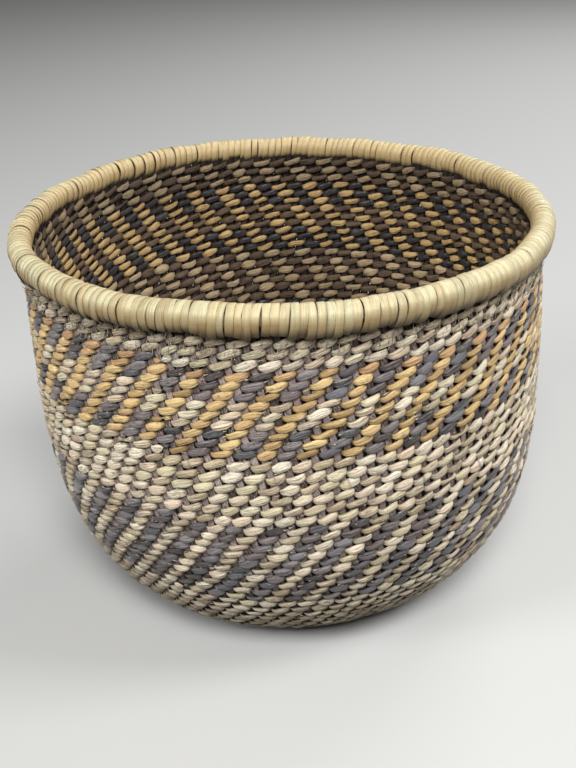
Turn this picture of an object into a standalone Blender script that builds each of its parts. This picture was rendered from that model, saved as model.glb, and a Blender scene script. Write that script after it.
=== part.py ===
"""A bowl-shaped twined basket with a wrapped rim. Metres, +Z up, standing on the XY plane.

Flat stakes, the warps, rise from a knot under the middle of the base and spread up the wall.
Two strands of weft are twined round them, one course above the other. Here each band of courses
is a ring on the outside of the stakes and a ring on the inside, with the stakes between them.
At the top the ends of the stakes stand beside a thin rod, and one split is wrapped round both.

Every piece follows one outline: out along the flat base, round the heel, up the wall and in
again to the neck. A place on a piece is a distance along that outline from the middle of the
base, and a depth into the wall from its outer face.
"""
import math
import operator

import bmesh
import bpy

MM = 0.001

# Outer shape, measured on the outer face of the weft
BASE_RADIUS = 50.0 * MM
HEEL_SPREAD = 49.3 * MM         # how far the widest place stands out past the base
HEEL_HEIGHT = 94.8 * MM         # floor to the widest place
HEEL_FULLNESS = 2.2             # 2 turns the heel as an ellipse does, more makes it squarer
NECK_HEIGHT = 51.4 * MM         # widest place to the middle of the rim
NECK_DRAW_IN = 2.4 * MM         # how far the wall comes in again up to the rim

# The heel has sagged out of round on one side
BULGE = 4.2 * MM                # how far it stands out past the circle
BULGE_HEIGHT = 32.0 * MM        # floor to where it stands out most
BULGE_ANGLE = math.radians(-14.0)

# Layers of the wall, from the outside in
WEFT_THICKNESS = 1.6 * MM
WARP_THICKNESS = 1.2 * MM
GAP = 0.3 * MM                  # left between neighbours that touch on the real basket
CROSSING_DEPTH = 0.9 * MM       # depth of the hollow where the two strands of weft cross
EDGE_DEPTH = 0.5 * MM           # depth of the groove between two bands of weft

# Stakes
STAKE_COUNT = 40                # a multiple of 4
STAKE_WIDTH = 10.5 * MM
STAKE_SPACING = 1.5 * MM        # least distance between two stakes, where they crowd together
START_KNOT_RADIUS = 6.0 * MM
SECOND_SET_START = 25.0 * MM    # where stakes are added, from the middle of the base
STAKE_END_BELOW_RIM = 1.7 * MM  # ends of the stakes below the middle of the rim

# Rim
ROD_DIAMETER = 4.4 * MM
ROD_CLEARANCE = 1.6 * MM        # between the rod and the outer face of the stakes
STAKE_POCKET = 2.6 * MM         # room inside the wrapping for the ends of the stakes
WRAP_THICKNESS = 1.1 * MM
WRAP_RIBS = 44                  # a multiple of 4
WRAP_RELIEF = 0.4 * MM          # depth of the groove between two wraps
WRAP_LEAN = math.radians(2.4)   # how far round the basket a wrap moves in half its turn

# How finely the pieces are drawn
WALL_SIDES = 32
STITCHES_DRAWN = 32             # stitches in relief in each course of the outer rings
ROD_SIDES = 8
WRAP_POINTS = 8                 # points on each face of the wrapping's section
OUTLINE_STEPS = 120             # steps of the heel, and of the neck
STATION_STEP = 20.0 * MM        # longest straight stretch of a stake

# Bands of the wall from the heel up to the rim
BAND_NAMES = (
    "heel", "lower_dark", "middle_pale", "lower_gold", "centre_gold", "upper_gold", "top_pale")
BAND_COURSE_COUNTS = (14, 10, 6, 3, 3, 3, 3)
BAND_HEIGHT_RATIOS = (1.00, 1.00, 1.10, 0.95, 0.95, 0.95, 0.95)     # course against the mean one
BAND_FINISHES = (
    "natural_weft", "dark_weft", "natural_weft", "gold_weft", "gold_weft", "gold_weft",
    "natural_weft")

# Finish: colour, roughness
FINISHES = {
    "natural_weft": ((0.52, 0.43, 0.28), 0.75),
    "dark_weft": ((0.09, 0.09, 0.12), 0.70),
    "gold_weft": ((0.60, 0.37, 0.11), 0.65),
    "warp": ((0.14, 0.10, 0.10), 0.85),
    "rim_split": ((0.66, 0.48, 0.24), 0.40),
    "rod": ((0.30, 0.20, 0.11), 0.80),
}

# Sizes that follow from the ones above
BELLY_RADIUS = BASE_RADIUS + HEEL_SPREAD
RIM_HEIGHT = HEEL_HEIGHT + NECK_HEIGHT
WARP_DEPTH = WEFT_THICKNESS + GAP
INNER_WEFT_DEPTH = WARP_DEPTH + WARP_THICKNESS + GAP
WALL_THICKNESS = INNER_WEFT_DEPTH + WEFT_THICKNESS
STAKE_FACE_RADIUS = BELLY_RADIUS - NECK_DRAW_IN - WARP_DEPTH
ROD_RADIUS = ROD_DIAMETER / 2
ROD_RING_RADIUS = STAKE_FACE_RADIUS + ROD_CLEARANCE + ROD_RADIUS
RIM_RING_RADIUS = ROD_RING_RADIUS - STAKE_POCKET / 2
WRAP_INNER_RADIUS = ROD_RADIUS + GAP + STAKE_POCKET / 2
WRAP_OUTER_RADIUS = WRAP_INNER_RADIUS + WRAP_THICKNESS
WEFT_TOP_HEIGHT = RIM_HEIGHT - WRAP_OUTER_RADIUS - GAP
STAKE_TOP_HEIGHT = RIM_HEIGHT - STAKE_END_BELOW_RIM
FIRST_SET_START = START_KNOT_RADIUS + GAP
THIRD_SET_START = BASE_RADIUS


def outline_points():
    """The outer face from the middle of the base to the middle of the rim, as (radius, height)."""
    points = [(0.0, 0.0), (BASE_RADIUS, 0.0)]
    power = 2.0 / HEEL_FULLNESS
    for step in range(1, OUTLINE_STEPS + 1):
        turn = math.pi / 2 * step / OUTLINE_STEPS
        radius = BASE_RADIUS + HEEL_SPREAD * math.sin(turn) ** power
        height = HEEL_HEIGHT * (1.0 - max(math.cos(turn), 0.0) ** power)
        points.append((radius, height))
    for step in range(1, OUTLINE_STEPS + 1):
        share = step / OUTLINE_STEPS
        radius = BELLY_RADIUS - NECK_DRAW_IN * share ** 2
        height = HEEL_HEIGHT + NECK_HEIGHT * share
        points.append((radius, height))
    return points


def running_lengths(points):
    """The distance of each point along the line through all of them."""
    lengths = [0.0]
    for before, after in zip(points, points[1:]):
        lengths.append(lengths[-1] + math.dist(before, after))
    return lengths


OUTLINE = outline_points()
LENGTHS = running_lengths(OUTLINE)


def outline_point(distance):
    """The (radius, height) at a distance along the outline."""
    for index in range(1, len(OUTLINE)):
        if distance <= LENGTHS[index] or index == len(OUTLINE) - 1:
            stretch = LENGTHS[index] - LENGTHS[index - 1]
            share = (distance - LENGTHS[index - 1]) / stretch
            before = OUTLINE[index - 1]
            after = OUTLINE[index]
            return (before[0] + share * (after[0] - before[0]),
                    before[1] + share * (after[1] - before[1]))


def wall_point(distance, depth):
    """The (radius, height) at a distance along the outline and a depth into the wall."""
    reach = 0.5 * MM
    radius, height = outline_point(distance)
    before = outline_point(max(distance - reach, 0.0))
    after = outline_point(distance + reach)
    run = math.dist(before, after)
    inward = (-(after[1] - before[1]) / run, (after[0] - before[0]) / run)
    return (radius + depth * inward[0], height + depth * inward[1])


def distance_at_height(height):
    """How far along the outline the wall reaches a height."""
    for index in range(2, len(OUTLINE)):
        if OUTLINE[index][1] >= height:
            rise = OUTLINE[index][1] - OUTLINE[index - 1][1]
            share = (height - OUTLINE[index - 1][1]) / rise
            return LENGTHS[index - 1] + share * (LENGTHS[index] - LENGTHS[index - 1])
    return LENGTHS[-1]


WALL_TOP = distance_at_height(WEFT_TOP_HEIGHT)
STAKE_TOP = distance_at_height(STAKE_TOP_HEIGHT)
MEAN_COURSES = sum(map(operator.mul, BAND_COURSE_COUNTS, BAND_HEIGHT_RATIOS))
COURSE_HEIGHT = (WALL_TOP - BASE_RADIUS) / MEAN_COURSES


def band_limits():
    """Where each band of the wall starts, with the wall's top as the last value."""
    limits = [BASE_RADIUS]
    for count, ratio in zip(BAND_COURSE_COUNTS, BAND_HEIGHT_RATIOS):
        limits.append(limits[-1] + count * ratio * COURSE_HEIGHT)
    return limits


def stations():
    """Distances where every layer of the base and wall bends, so that the layers stay parallel."""
    fixed = sorted({0.0, FIRST_SET_START, SECOND_SET_START, THIRD_SET_START, *band_limits()})
    found = [fixed[0]]
    for start, end in zip(fixed, fixed[1:]):
        count = max(1, math.ceil((end - start) / STATION_STEP))
        if end <= BASE_RADIUS:
            count = 1
        for step in range(1, count + 1):
            found.append(start + (end - start) * step / count)
    return found


STATIONS = stations()


def stations_between(start, end):
    """The shared stations between two distances, with those two distances at the ends."""
    slack = 0.5 * GAP
    inner = [place for place in STATIONS if start + slack < place < end - slack]
    return [start] + inner + [end]


def finish(name):
    """The material of that name, made once."""
    found = bpy.data.materials.get(name)
    if found:
        return found
    colour, roughness = FINISHES[name]
    made = bpy.data.materials.new(name)
    made.use_nodes = True
    shader = made.node_tree.nodes["Principled BSDF"]
    shader.inputs["Base Color"].default_value = (*colour, 1.0)
    shader.inputs["Roughness"].default_value = roughness
    shader.inputs["Metallic"].default_value = 0.0
    return made


def out_of_round(angle, height):
    """How far the wall stands out past a true circle at an angle and a height."""
    level = height / BULGE_HEIGHT
    swelling = (level * math.exp(1.0 - level)) ** 3
    facing = (1.0 + math.cos(angle - BULGE_ANGLE)) / 2
    return BULGE * swelling * facing ** 3


def sag(solid):
    """Move the points of a turned shape out to where the sagged heel carries them."""
    for point in solid.verts:
        angle = math.atan2(point.co.y, point.co.x)
        stretch = 1.0 + out_of_round(angle, point.co.z) / BELLY_RADIUS
        point.co.x *= stretch
        point.co.y *= stretch


def add_piece(name, solid, finish_name):
    """Turn a finished bmesh into a named object with its material."""
    sag(solid)
    bmesh.ops.recalc_face_normals(solid, faces=solid.faces)
    mesh = bpy.data.meshes.new(name)
    solid.to_mesh(mesh)
    solid.free()
    mesh.materials.append(finish(finish_name))
    mesh.shade_smooth()
    mesh.set_sharp_from_angle(angle=math.radians(40))
    piece = bpy.data.objects.new(name, mesh)
    bpy.context.scene.collection.objects.link(piece)
    piece.parent = AXIS
    return piece


def turned_piece(name, section, finish_name, sides=WALL_SIDES):
    """Turn a section of (radius, height) points once about Z.

    A section that starts and ends on the axis gives a disc, any other is closed into a ring.
    """
    solid = bmesh.new()
    points = [solid.verts.new((radius, 0.0, height)) for radius, height in section]
    lines = [solid.edges.new(pair) for pair in zip(points, points[1:])]
    if section[0][0] > 0.0:
        lines.append(solid.edges.new((points[-1], points[0])))
    bmesh.ops.spin(solid, geom=points + lines, cent=(0, 0, 0), axis=(0, 0, 1),
                   angle=2 * math.pi, steps=sides, use_merge=True)
    bmesh.ops.remove_doubles(solid, verts=solid.verts, dist=0.001 * MM)
    return add_piece(name, solid, finish_name)


def join_round(solid, rings):
    """Join closed rings of points, each to the next and the last to the first."""
    count = len(rings[0])
    for index, ring in enumerate(rings):
        after = rings[(index + 1) % len(rings)]
        for point in range(count):
            along = (point + 1) % count
            solid.faces.new((ring[point], ring[along], after[along], after[point]))


def round_the_circle(point, sides):
    """Move a point of a hollow face out, so that the flats of the face touch the circle."""
    return (point[0] / math.cos(math.pi / sides), point[1])


def disc(name, radius, depth, thickness, finish_name):
    """A flat disc on the base, at a depth into it."""
    section = [(0.0, depth), (radius, depth), (radius, depth + thickness), (0.0, depth + thickness)]
    return turned_piece(name, section, finish_name)


def outer_ring(name, start, end, courses, finish_name):
    """A ring of weft on the outside of the stakes, with its stitches in relief.

    The courses are numbered from the base. The stitches of each lie half a stitch on from those
    of the course below, so that they line up on a slant, and between two stitches of a course
    is a hollow where its strands cross.
    """
    start += GAP / 2
    end -= GAP / 2
    course_height = (end - start) / len(courses)
    middles = [start + course_height * (step + 0.5) for step in range(len(courses))]
    sides = 2 * STITCHES_DRAWN
    stitch = [wall_point(middle, 0.0) for middle in middles]
    crossing = [wall_point(middle, CROSSING_DEPTH) for middle in middles]
    back = [round_the_circle(wall_point(place, WEFT_THICKNESS), sides)
            for place in reversed(stations_between(start, end))]
    solid = bmesh.new()
    rings = []
    for side in range(sides):
        angle = 2 * math.pi * side / sides
        face = [(stitch, crossing)[(side + course) % 2][step] for step, course in enumerate(courses)]
        section = [wall_point(start, EDGE_DEPTH), *face, wall_point(end, EDGE_DEPTH), *back]
        rings.append([solid.verts.new((radius * math.cos(angle), radius * math.sin(angle), height))
                      for radius, height in section])
    join_round(solid, rings)
    return add_piece(name, solid, finish_name)


def inner_ring(name, start, end, finish_name):
    """A ring of weft on the inside of the stakes."""
    places = stations_between(start + GAP / 2, end - GAP / 2)
    back = [wall_point(place, INNER_WEFT_DEPTH) for place in places]
    face = [wall_point(place, WALL_THICKNESS) for place in reversed(places)]
    return turned_piece(name, back + face, finish_name)


def stakes_at(distance):
    """How many stakes there are side by side at a distance from the middle of the base."""
    if distance < SECOND_SET_START:
        return STAKE_COUNT // 4
    if distance < THIRD_SET_START:
        return STAKE_COUNT // 2
    return STAKE_COUNT


def stake_start(place):
    """Where a stake starts: every fourth at the knot, and those between them further out."""
    if place % 4 == 0:
        return FIRST_SET_START
    if place % 2 == 0:
        return SECOND_SET_START
    return THIRD_SET_START


def stake(place):
    """One flat stake that rises from the base to the rim."""
    angle = 2 * math.pi * place / STAKE_COUNT
    solid = bmesh.new()
    rings = []
    for distance in stations_between(stake_start(place), STAKE_TOP):
        outer = wall_point(distance, WARP_DEPTH)
        inner = wall_point(distance, WARP_DEPTH + WARP_THICKNESS)
        room = 2 * math.pi * inner[0] / stakes_at(distance) - STAKE_SPACING
        half = min(STAKE_WIDTH, room) / 2
        corners = ((outer, -half), (outer, half), (inner, half), (inner, -half))
        ring = []
        for (radius, height), aside in corners:
            x = radius * math.cos(angle) - aside * math.sin(angle)
            y = radius * math.sin(angle) + aside * math.cos(angle)
            ring.append(solid.verts.new((x, y, height)))
        rings.append(ring)
    for low, high in zip(rings, rings[1:]):
        for index in range(4):
            after = (index + 1) % 4
            solid.faces.new((low[index], low[after], high[after], high[index]))
    solid.faces.new(rings[0])
    solid.faces.new(reversed(rings[-1]))
    return add_piece(f"warp_{place + 1:02d}", solid, "warp")


def wrap_section(relief):
    """The wrapping's section about the rim's middle: a ring open below, where the stakes enter.

    An angle of 0 points away from the axis, and the section runs over the top to the inside.
    """
    stake_aside = RIM_RING_RADIUS - STAKE_FACE_RADIUS - 2 * GAP
    opening_start = math.pi + math.asin((STAKE_END_BELOW_RIM - 2 * GAP) / WRAP_OUTER_RADIUS)
    opening_end = -math.acos(-stake_aside / WRAP_OUTER_RADIUS)
    turns = [opening_end + (opening_start - opening_end) * index / (WRAP_POINTS - 1)
             for index in range(WRAP_POINTS)]
    half_step = (opening_start - opening_end) / (WRAP_POINTS - 1) / 2
    hollow_radius = WRAP_INNER_RADIUS / math.cos(half_step)
    outer = [(turn, WRAP_OUTER_RADIUS - relief) for turn in turns]
    inner = [(turn, hollow_radius) for turn in reversed(turns)]
    return outer + inner


def rim_wrapping():
    """The split wrapped round the rod and the ends of the stakes, with a rib for each wrap."""
    solid = bmesh.new()
    rings = []
    for index in range(2 * WRAP_RIBS):
        relief = WRAP_RELIEF * (index % 2)
        ring = []
        for turn, radius in wrap_section(relief):
            angle = math.pi * index / WRAP_RIBS + WRAP_LEAN * turn / math.pi
            out = RIM_RING_RADIUS + radius * math.cos(turn)
            height = RIM_HEIGHT + radius * math.sin(turn)
            ring.append(solid.verts.new((out * math.cos(angle), out * math.sin(angle), height)))
        rings.append(ring)
    join_round(solid, rings)
    return add_piece("rim_wrapping", solid, "rim_split")


def rim_rod():
    """The thin round rod that gives the rim its shape."""
    section = []
    for index in range(ROD_SIDES):
        turn = 2 * math.pi * (index + 0.5) / ROD_SIDES
        section.append((ROD_RING_RADIUS + ROD_RADIUS * math.cos(turn),
                        RIM_HEIGHT + ROD_RADIUS * math.sin(turn)))
    return turned_piece("rim_rod", section, "rod")


def base():
    """The flat base: weft below and above, with the knot where the stakes start between them."""
    edge = BASE_RADIUS - GAP / 2
    disc("base_weft_outer", edge, 0.0, WEFT_THICKNESS, "natural_weft")
    disc("start_knot", START_KNOT_RADIUS, WARP_DEPTH, WARP_THICKNESS, "warp")
    disc("base_weft_inner", edge, INNER_WEFT_DEPTH, WEFT_THICKNESS, "natural_weft")


def wall():
    """The bands of weft, each with its outer and its inner ring."""
    limits = band_limits()
    bands = zip(BAND_NAMES, BAND_COURSE_COUNTS, BAND_FINISHES, limits, limits[1:])
    first_course = 0
    for name, course_count, finish_name, start, end in bands:
        courses = range(first_course, first_course + course_count)
        outer_ring(name + "_weft_outer", start, end, courses, finish_name)
        inner_ring(name + "_weft_inner", start, end, finish_name)
        first_course += course_count


for leftover in list(bpy.data.objects):
    bpy.data.objects.remove(leftover, do_unlink=True)
AXIS = bpy.data.objects.new("basket_axis", None)
bpy.context.scene.collection.objects.link(AXIS)
base()
for stake_place in range(STAKE_COUNT):
    stake(stake_place)
wall()
rim_rod()
rim_wrapping()
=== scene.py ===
"""The looks of a bowl-shaped twined basket with a wrapped rim. Metres, +Z up, in the part's frame.

The wall is made as the maker makes it. Upright stakes, the warps, stand side by side. Two strands
of weft run round them in one rising spiral, and between every second stake they change places, so
that each stitch covers two stakes. The number of stakes is odd, so each course steps on by one
stake and the stitches of one strand line up on a slant. One glossy split wraps the rim.

A place on the wall is an angle about Z, a distance along the basket's outline from the middle of
the base, and a depth into the wall from its outer face.
"""
from __future__ import annotations

import logging
import math
from dataclasses import dataclass
from enum import Enum
from typing import Union

import bmesh
import bpy
from mathutils import Matrix, Vector

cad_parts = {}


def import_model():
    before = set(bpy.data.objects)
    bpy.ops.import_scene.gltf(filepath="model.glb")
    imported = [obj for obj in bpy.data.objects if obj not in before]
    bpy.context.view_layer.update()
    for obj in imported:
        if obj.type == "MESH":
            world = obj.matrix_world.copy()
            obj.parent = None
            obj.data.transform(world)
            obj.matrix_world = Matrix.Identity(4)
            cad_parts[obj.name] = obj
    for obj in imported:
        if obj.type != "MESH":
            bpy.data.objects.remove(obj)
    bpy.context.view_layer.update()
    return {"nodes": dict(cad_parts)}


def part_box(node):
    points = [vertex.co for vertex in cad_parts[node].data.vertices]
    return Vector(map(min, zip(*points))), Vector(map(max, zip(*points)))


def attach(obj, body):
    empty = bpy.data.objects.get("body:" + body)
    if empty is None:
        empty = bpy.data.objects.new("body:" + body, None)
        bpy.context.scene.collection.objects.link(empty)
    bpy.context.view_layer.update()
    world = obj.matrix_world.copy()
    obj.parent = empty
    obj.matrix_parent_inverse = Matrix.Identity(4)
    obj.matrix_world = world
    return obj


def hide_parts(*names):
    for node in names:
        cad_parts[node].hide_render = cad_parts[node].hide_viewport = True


MM = 0.001
FULL_TURN = 2.0 * math.pi
LOG = logging.getLogger("basket")


class Value:
    """A socket of a node tree, for use in a Python expression."""

    def __init__(self, tree: Tree, socket: bpy.types.NodeSocket) -> None:
        """Keep the socket and the tree that new nodes go into."""
        self.tree = tree
        self.socket = socket

    def __add__(self, other: Number) -> Value:
        """Add a value or a number."""
        return self.tree.maths("ADD", self, other)

    def __radd__(self, other: float) -> Value:
        """Add this to a number."""
        return self.tree.maths("ADD", other, self)

    def __sub__(self, other: Number) -> Value:
        """Take a value or a number away."""
        return self.tree.maths("SUBTRACT", self, other)

    def __rsub__(self, other: float) -> Value:
        """Take this away from a number."""
        return self.tree.maths("SUBTRACT", other, self)

    def __mul__(self, other: Number) -> Value:
        """Multiply by a value or a number."""
        return self.tree.maths("MULTIPLY", self, other)

    def __rmul__(self, other: float) -> Value:
        """Multiply a number by this."""
        return self.tree.maths("MULTIPLY", other, self)

    def __truediv__(self, other: Number) -> Value:
        """Divide by a value or a number."""
        return self.tree.maths("DIVIDE", self, other)

    def __rtruediv__(self, other: float) -> Value:
        """Divide a number by this."""
        return self.tree.maths("DIVIDE", other, self)

    def __pow__(self, other: Number) -> Value:
        """Raise to a power."""
        return self.tree.maths("POWER", self, other)

    def __neg__(self) -> Value:
        """Change the sign."""
        return self.tree.maths("MULTIPLY", self, -1.0)

    def sine(self) -> Value:
        """The sine."""
        return self.tree.maths("SINE", self)

    def cosine(self) -> Value:
        """The cosine."""
        return self.tree.maths("COSINE", self)

    def arcsine(self) -> Value:
        """The angle whose sine this is."""
        return self.tree.maths("ARCSINE", self)

    def tanh(self) -> Value:
        """The hyperbolic tangent."""
        return self.tree.maths("TANH", self)

    def exponential(self) -> Value:
        """The number e raised to this power."""
        return self.tree.maths("EXPONENT", self)

    def floor(self) -> Value:
        """The whole part."""
        return self.tree.maths("FLOOR", self)

    def fraction(self) -> Value:
        """What is left past the whole part."""
        return self.tree.maths("FRACT", self)

    def size(self) -> Value:
        """The value without its sign."""
        return self.tree.maths("ABSOLUTE", self)

    def above(self, limit: Number) -> Value:
        """1 where this is above the limit, else 0."""
        return self.tree.maths("GREATER_THAN", self, limit)

    def below(self, limit: Number) -> Value:
        """1 where this is below the limit, else 0."""
        return self.tree.maths("LESS_THAN", self, limit)

    def least(self, other: Number) -> Value:
        """The smaller of the two."""
        return self.tree.maths("MINIMUM", self, other)

    def most(self, other: Number) -> Value:
        """The larger of the two."""
        return self.tree.maths("MAXIMUM", self, other)

    def within(self, low: Number = 0.0, high: Number = 1.0) -> Value:
        """The value kept between two limits."""
        return self.most(low).least(high)

    def blend(self, at_zero: Number, at_one: Number) -> Value:
        """Go from one value to another as this goes from 0 to 1."""
        return at_zero + (at_one - at_zero) * self

    def squarer(self, power: float) -> Value:
        """Push a value between -1 and 1 out towards them, and the more so the smaller the power."""
        nearly_zero = 0.0001
        return self * (self.size() + nearly_zero) ** (power - 1.0)

    def line(self, half_width: float) -> Value:
        """1 where this is 0, falling to 0 at a distance on both sides."""
        return (1.0 - self.size() / half_width).within()


Number = Union[float, Value]
Colour = tuple[float, float, float]


class Tree:
    """Adds nodes to a node tree, either of a shape or of a finish."""

    def __init__(self, nodes: bpy.types.NodeTree) -> None:
        """Start on a node tree, with nothing in it."""
        self.nodes = nodes
        nodes.nodes.clear()

    def node(self, kind: str, settings: dict[str, object] | None = None,
             sockets: dict[str | int, object] | None = None) -> bpy.types.Node:
        """Add one node.

        Args:
            kind: The node's type.
            settings: Its settings by name, which are set first.
            sockets: What goes into its sockets, by their name or place: values, or links.

        Returns:
            The new node.
        """
        made = self.nodes.nodes.new(kind)
        for name, setting in (settings or {}).items():
            setattr(made, name, setting)
        for place, entry in (sockets or {}).items():
            if isinstance(entry, Value):
                self.nodes.links.new(entry.socket, made.inputs[place])
            else:
                made.inputs[place].default_value = entry
        return made

    def out(self, node: bpy.types.Node, place: str | int = 0) -> Value:
        """One output of a node, by its name or place."""
        return Value(self, node.outputs[place])

    def maths(self, operation: str, *entries: Number) -> Value:
        """Add a Math node on one or two numbers."""
        return self.out(self.node("ShaderNodeMath", {"operation": operation}, dict(enumerate(entries))))

    def vector(self, x: Number, y: Number, z: Number) -> Value:
        """A vector of three numbers."""
        return self.out(self.node("ShaderNodeCombineXYZ", None, {"X": x, "Y": y, "Z": z}))

    def parts(self, vector: Value) -> tuple[Value, Value, Value]:
        """The three numbers in a vector."""
        node = self.node("ShaderNodeSeparateXYZ", None, {0: vector})
        return self.out(node, 0), self.out(node, 1), self.out(node, 2)

    def vectors(self, operation: str, *entries: Value) -> Value:
        """Add a Vector Math node whose result is a vector."""
        sockets = dict(enumerate(entries))
        return self.out(self.node("ShaderNodeVectorMath", {"operation": operation}, sockets))

    def noise(self, point: Value, period: float, detail: float = 0.0) -> tuple[Value, ...]:
        """Smooth noise over a point.

        Args:
            point: Where to read it.
            period: About how far apart two of its hills are, in the point's unit.
            detail: How many finer layers lie on it.

        Returns:
            Three values that don't depend on each other, each from -1 to 1.
        """
        node = self.node("ShaderNodeTexNoise", {"noise_dimensions": "3D"},
                         {"Vector": point, "Scale": 1.0 / period, "Detail": detail})
        spread = 3.2
        raw = self.parts(self.out(node, "Color"))
        return tuple(((part - 0.5) * spread).within(-1.0, 1.0) for part in raw)

    def chance(self, number: Value, row: Number) -> tuple[Value, ...]:
        """Random numbers that stay the same for the same two whole numbers.

        Args:
            number: The first whole number, such as a stitch's.
            row: The second, such as a seed.

        Returns:
            Four values that don't depend on each other, each from 0 to 1.
        """
        node = self.node("ShaderNodeTexWhiteNoise", {"noise_dimensions": "2D"},
                         {"Vector": self.vector(number, row, 0.0)})
        return (*self.parts(self.out(node, "Color")), self.out(node, "Value"))

    def mixed(self, share: Value, first: Value | Colour, second: Value | Colour) -> Value:
        """A colour between two others.

        Args:
            share: 0 gives the first colour and 1 the second.
            first: A colour or a link.
            second: A colour or a link.

        Returns:
            The colour's link.
        """
        first_place, second_place, result = 6, 7, 2
        entries = {place: colour if isinstance(colour, Value) else (*colour, 1.0)
                   for place, colour in ((first_place, first), (second_place, second))}
        node = self.node("ShaderNodeMix", {"data_type": "RGBA"}, {0: share, **entries})
        return self.out(node, result)

    def seen(self) -> Value:
        """Tell the rays that the camera sees from those that only light the scene.

        Returns:
            1 for the camera's rays, also off metal or through glass, and 0 for the others.
        """
        path = self.node("ShaderNodeLightPath")
        rays = [self.out(path, f"Is {kind} Ray") for kind in ("Camera", "Glossy", "Transmission")]
        return sum(rays[1:], rays[0]).within()


class SurfaceTree(Tree):
    """A tree that makes a finish, in a material of its own."""

    def __init__(self, name: str) -> None:
        """Start the material.

        Args:
            name: Its name.
        """
        self.material = bpy.data.materials.new(name)
        self.material.use_nodes = True
        super().__init__(self.material.node_tree)

    def close(self, sockets: dict[str | int, object]) -> bpy.types.Material:
        """End the tree with a Principled shader.

        Args:
            sockets: What goes into the shader's sockets, by their name.

        Returns:
            The material.
        """
        shader = self.node("ShaderNodeBsdfPrincipled", None, sockets)
        self.node("ShaderNodeOutputMaterial", None, {"Surface": self.out(shader)})
        return self.material


@dataclass(frozen=True)
class Outline:
    """The outer face of the basket from the middle of the base to the middle of the rim.

    The heel rises from the base to the widest place, and the neck draws in from there a little.
    On one side the heel has sagged out of round, by the bulge.
    """

    base_radius: float = 50.0 * MM
    heel_spread: float = 49.3 * MM
    heel_height: float = 94.8 * MM
    heel_fullness: float = 2.2
    neck_height: float = 51.4 * MM
    neck_draw_in: float = 2.4 * MM
    bulge: float = 4.2 * MM
    bulge_height: float = 32.0 * MM
    bulge_angle: float = math.radians(-14.0)
    bulge_tightness: float = 3.0
    steps: int = 160

    @property
    def rim_height(self) -> float:
        """The height of the middle of the rim."""
        return self.heel_height + self.neck_height

    def points(self) -> list[tuple[float, float]]:
        """Follow the line in small steps.

        Returns:
            Its points, as (radius, height).
        """
        found = [(0.0, 0.0), (self.base_radius / 2, 0.0), (self.base_radius, 0.0)]
        power = 2.0 / self.heel_fullness
        for step in range(1, self.steps + 1):
            turn = math.pi / 2 * step / self.steps
            spread = self.heel_spread * math.sin(turn) ** power
            rise = self.heel_height * (1.0 - max(math.cos(turn), 0.0) ** power)
            found.append((self.base_radius + spread, rise))
        belly = self.base_radius + self.heel_spread
        for step in range(1, self.steps + 1):
            share = step / self.steps
            radius = belly - self.neck_draw_in * share ** 2
            found.append((radius, self.heel_height + self.neck_height * share))
        return found

    def distance_at_height(self, height: float) -> float:
        """Find how far along the line the wall reaches a height.

        Args:
            height: The height over the floor.

        Returns:
            The distance from the middle of the base.
        """
        distance = 0.0
        points = self.points()
        for before, after in zip(points, points[1:]):
            stretch = math.dist(before, after)
            if after[1] >= height:
                return distance + stretch * (height - before[1]) / (after[1] - before[1])
            distance += stretch
        return distance

    def guide(self) -> bpy.types.Object:
        """Draw the line in the XZ plane, for the shapes to follow.

        Returns:
            The curve object.
        """
        line = bpy.data.curves.new("outline_guide", "CURVE")
        line.dimensions = "3D"
        spline = line.splines.new("POLY")
        points = self.points()
        spline.points.add(len(points) - 1)
        for point, (radius, height) in zip(spline.points, points):
            point.co = (radius, 0.0, height, 1.0)
        guide = bpy.data.objects.new("outline_guide", line)
        bpy.context.scene.collection.objects.link(guide)
        return guide


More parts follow.
